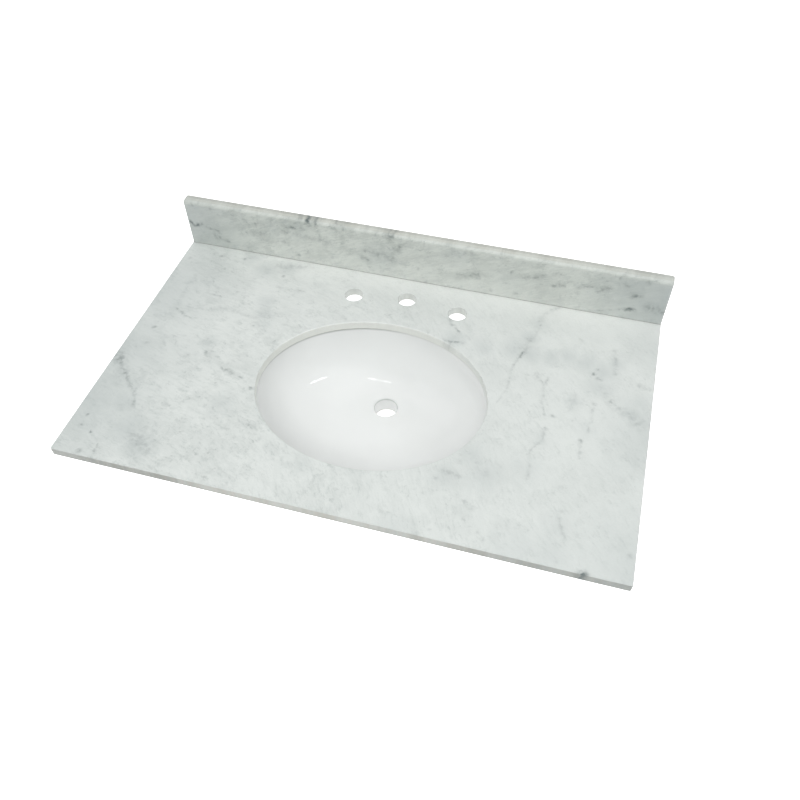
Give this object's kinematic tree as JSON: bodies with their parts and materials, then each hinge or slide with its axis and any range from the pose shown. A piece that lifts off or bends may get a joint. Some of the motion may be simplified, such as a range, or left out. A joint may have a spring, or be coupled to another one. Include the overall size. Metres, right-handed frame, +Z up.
{
  "type": "vanity sink top",
  "caption": "Rectangular marble vanity top with a loose backsplash, widespread faucet holes and an oval china bowl clipped under an oval cut-out.",
  "frame": {"origin": "on the slab's underside, at the middle of its back edge, where it meets the cabinet and the wall", "axes": "+X to the user's right along the wall, +Y into the wall, so the user stands at -Y, and +Z up"},
  "size_m": [0.9398, 0.5652, 0.2755],
  "materials": {
    "marble": "polished pale grey marble with soft grey veins",
    "glazed_china": "glossy white glaze",
    "silicone": "cured white silicone",
    "zinc_plated_steel": "zinc plated",
    "brass": "turned"
  },
  "bodies": {
    "top": {"marble_top": "marble", "backsplash": "marble", "backsplash_sealant": "silicone", "sink_bowl": "glazed_china", "rim_sealant": "silicone", "anchor_insert_front_left": "brass", "anchor_insert_front_right": "brass", "anchor_insert_back_left": "brass", "anchor_insert_back_right": "brass", "clip_stud_front_left": "zinc_plated_steel", "clip_stud_front_right": "zinc_plated_steel", "clip_stud_back_left": "zinc_plated_steel", "clip_stud_back_right": "zinc_plated_steel"},
    "clip_front_left": {"sink_clip_front_left": "zinc_plated_steel", "clip_washer_front_left": "zinc_plated_steel"},
    "nut_front_left": {"wing_nut_front_left": "zinc_plated_steel"},
    "clip_front_right": {"sink_clip_front_right": "zinc_plated_steel", "clip_washer_front_right": "zinc_plated_steel"},
    "nut_front_right": {"wing_nut_front_right": "zinc_plated_steel"},
    "clip_back_left": {"sink_clip_back_left": "zinc_plated_steel", "clip_washer_back_left": "zinc_plated_steel"},
    "nut_back_left": {"wing_nut_back_left": "zinc_plated_steel"},
    "clip_back_right": {"sink_clip_back_right": "zinc_plated_steel", "clip_washer_back_right": "zinc_plated_steel"},
    "nut_back_right": {"wing_nut_back_right": "zinc_plated_steel"}
  },
  "joints": [
    {"name": "clip_swing_front_left", "type": "hinge", "parent": "top", "child": "clip_front_left", "pos_m": [-0.17155, -0.45942, -0.017], "axis": [0, 0, 1], "range_deg": [-90, 90]},
    {"name": "nut_turn_front_left", "type": "hinge", "parent": "top", "child": "nut_front_left", "pos_m": [-0.17155, -0.45942, -0.0236], "axis": [0, 0, -1], "range_deg": [0, 1350]},
    {"name": "clip_swing_front_right", "type": "hinge", "parent": "top", "child": "clip_front_right", "pos_m": [0.17155, -0.45942, -0.017], "axis": [0, 0, 1], "range_deg": [-90, 90]},
    {"name": "nut_turn_front_right", "type": "hinge", "parent": "top", "child": "nut_front_right", "pos_m": [0.17155, -0.45942, -0.0236], "axis": [0, 0, -1], "range_deg": [0, 1350]},
    {"name": "clip_swing_back_left", "type": "hinge", "parent": "top", "child": "clip_back_left", "pos_m": [-0.17155, -0.16078, -0.017], "axis": [0, 0, 1], "range_deg": [-90, 90]},
    {"name": "nut_turn_back_left", "type": "hinge", "parent": "top", "child": "nut_back_left", "pos_m": [-0.17155, -0.16078, -0.0236], "axis": [0, 0, -1], "range_deg": [0, 1350]},
    {"name": "clip_swing_back_right", "type": "hinge", "parent": "top", "child": "clip_back_right", "pos_m": [0.17155, -0.16078, -0.017], "axis": [0, 0, 1], "range_deg": [-90, 90]},
    {"name": "nut_turn_back_right", "type": "hinge", "parent": "top", "child": "nut_back_right", "pos_m": [0.17155, -0.16078, -0.0236], "axis": [0, 0, -1], "range_deg": [0, 1350]}
  ]
}
